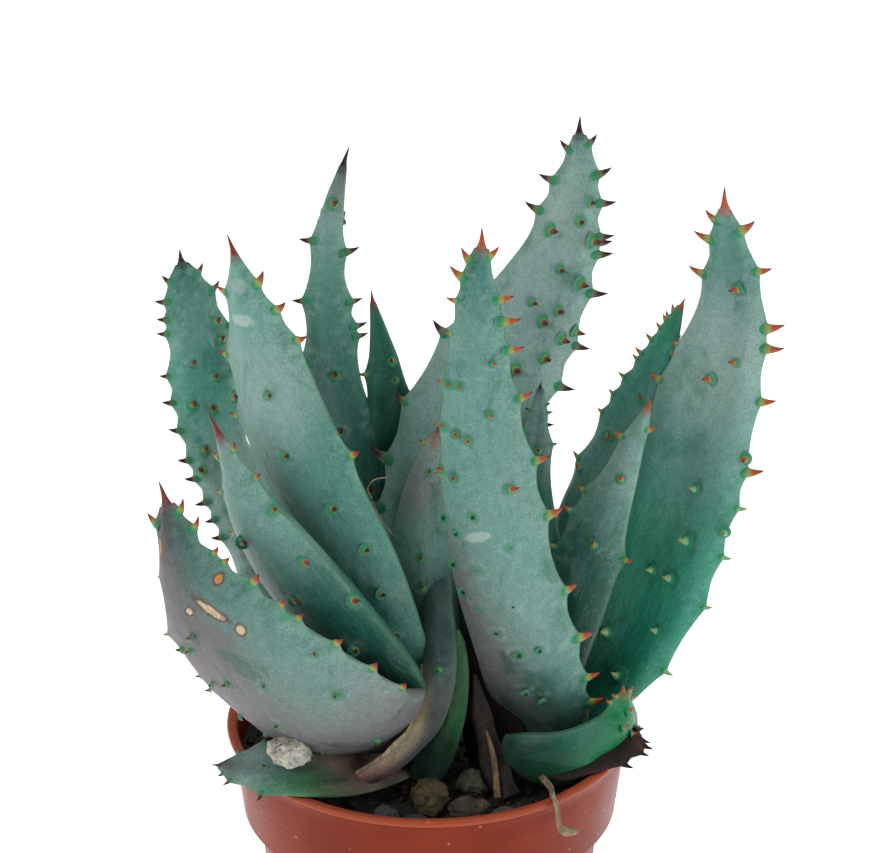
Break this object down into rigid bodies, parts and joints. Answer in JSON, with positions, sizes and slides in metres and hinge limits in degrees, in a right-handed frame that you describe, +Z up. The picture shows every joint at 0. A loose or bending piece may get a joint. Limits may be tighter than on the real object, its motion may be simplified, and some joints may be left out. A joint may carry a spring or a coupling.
{
  "type": "potted aloe plant",
  "caption": "Small aloe in a round plastic nursery pot: two short stems carrying thick, upright, grey-green leaves with toothed edges, in dark potting soil.",
  "frame": {"origin": "centre of the pot's flat base, on the surface it stands on", "axes": "+Z up; +X to the right and +Y to the back as the plant is seen from its front, where the broad purple-grey leaf lies at the left"},
  "size_m": [0.1566, 0.105, 0.252],
  "materials": {
    "pot_plastic": "satin",
    "potting_soil": "matte",
    "stem": "matte",
    "leaf_blue_green": "satin",
    "leaf_purple_grey": "satin",
    "leaf_deep_green": "satin",
    "dried_leaf": "matte",
    "pale_stone": "matte",
    "gravel": "matte"
  },
  "bodies": {
    "root": {"pot": "pot_plastic", "soil": "potting_soil", "left_stem": "stem", "right_stem": "stem", "left_leaf_front": "leaf_purple_grey", "left_leaf_slanting": "leaf_blue_green", "left_leaf_tall": "leaf_blue_green", "left_leaf_centre": "leaf_purple_grey", "left_leaf_arching": "leaf_blue_green", "left_leaf_upright": "leaf_blue_green", "left_leaf_young": "leaf_deep_green", "left_leaf_back": "leaf_blue_green", "left_leaf_old": "leaf_deep_green", "left_leaf_low": "leaf_purple_grey", "right_leaf_front": "leaf_blue_green", "right_leaf_big": "leaf_blue_green", "right_leaf_slanting": "leaf_blue_green", "right_leaf_back": "leaf_deep_green", "right_leaf_young": "leaf_deep_green", "right_leaf_low": "leaf_deep_green", "right_leaf_dried": "dried_leaf", "dried_sheath": "dried_leaf", "dried_strip": "dried_leaf", "pale_stone": "pale_stone", "stone_1": "gravel", "stone_2": "gravel", "stone_3": "gravel", "stone_4": "gravel", "stone_5": "gravel", "stone_6": "gravel"}
  },
  "joints": []
}
